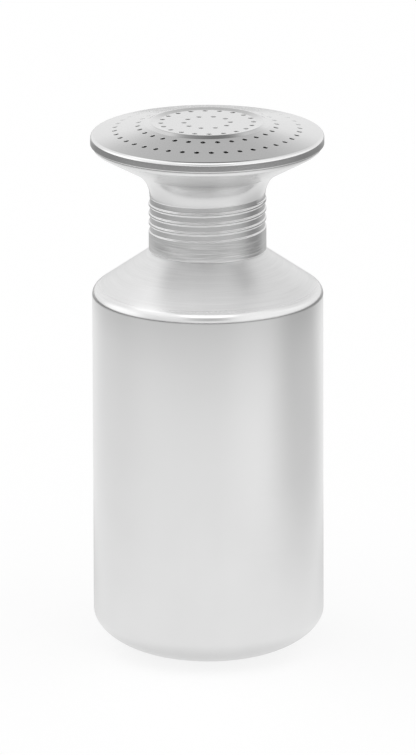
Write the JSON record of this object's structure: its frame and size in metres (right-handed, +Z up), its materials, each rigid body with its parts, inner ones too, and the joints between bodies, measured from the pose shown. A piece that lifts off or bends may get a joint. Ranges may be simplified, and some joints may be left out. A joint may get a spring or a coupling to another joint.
{
  "type": "spice shaker",
  "caption": "Tall aluminium shaker bottle with a sloped shoulder and a screw-on funnel head that carries a wide, domed, perforated plate.",
  "frame": {"origin": "centre of the footprint, on the surface that the bottle stands on", "axes": "+Z up along the axis of turning, from the bottle's base to the perforated plate; X and Y lie in the surface that it stands on"},
  "size_m": [0.0808, 0.0808, 0.1884],
  "materials": {
    "bottle_aluminium": "satin",
    "seal_rubber": "matte",
    "funnel_aluminium": "satin, turned",
    "plate_aluminium": "satin"
  },
  "bodies": {
    "bottle": {"bottle": "bottle_aluminium"},
    "seal": {"mouth_seal": "seal_rubber"},
    "head": {"head_funnel": "funnel_aluminium", "sprinkle_plate": "plate_aluminium"}
  },
  "joints": [
    {"name": "head_lift", "type": "slide", "parent": "bottle", "child": "seal", "axis": [0, 0, 1], "range_m": [0, 0.01156]},
    {"name": "head_turn", "type": "hinge", "parent": "seal", "child": "head", "pos_m": [0, 0, 0.155], "axis": [0, 0, 1], "range_deg": [0, 1260]}
  ],
  "couplings": [
    {"joint": "head_lift", "follows": "head_turn", "m_per_rad": 0.00052521}
  ]
}
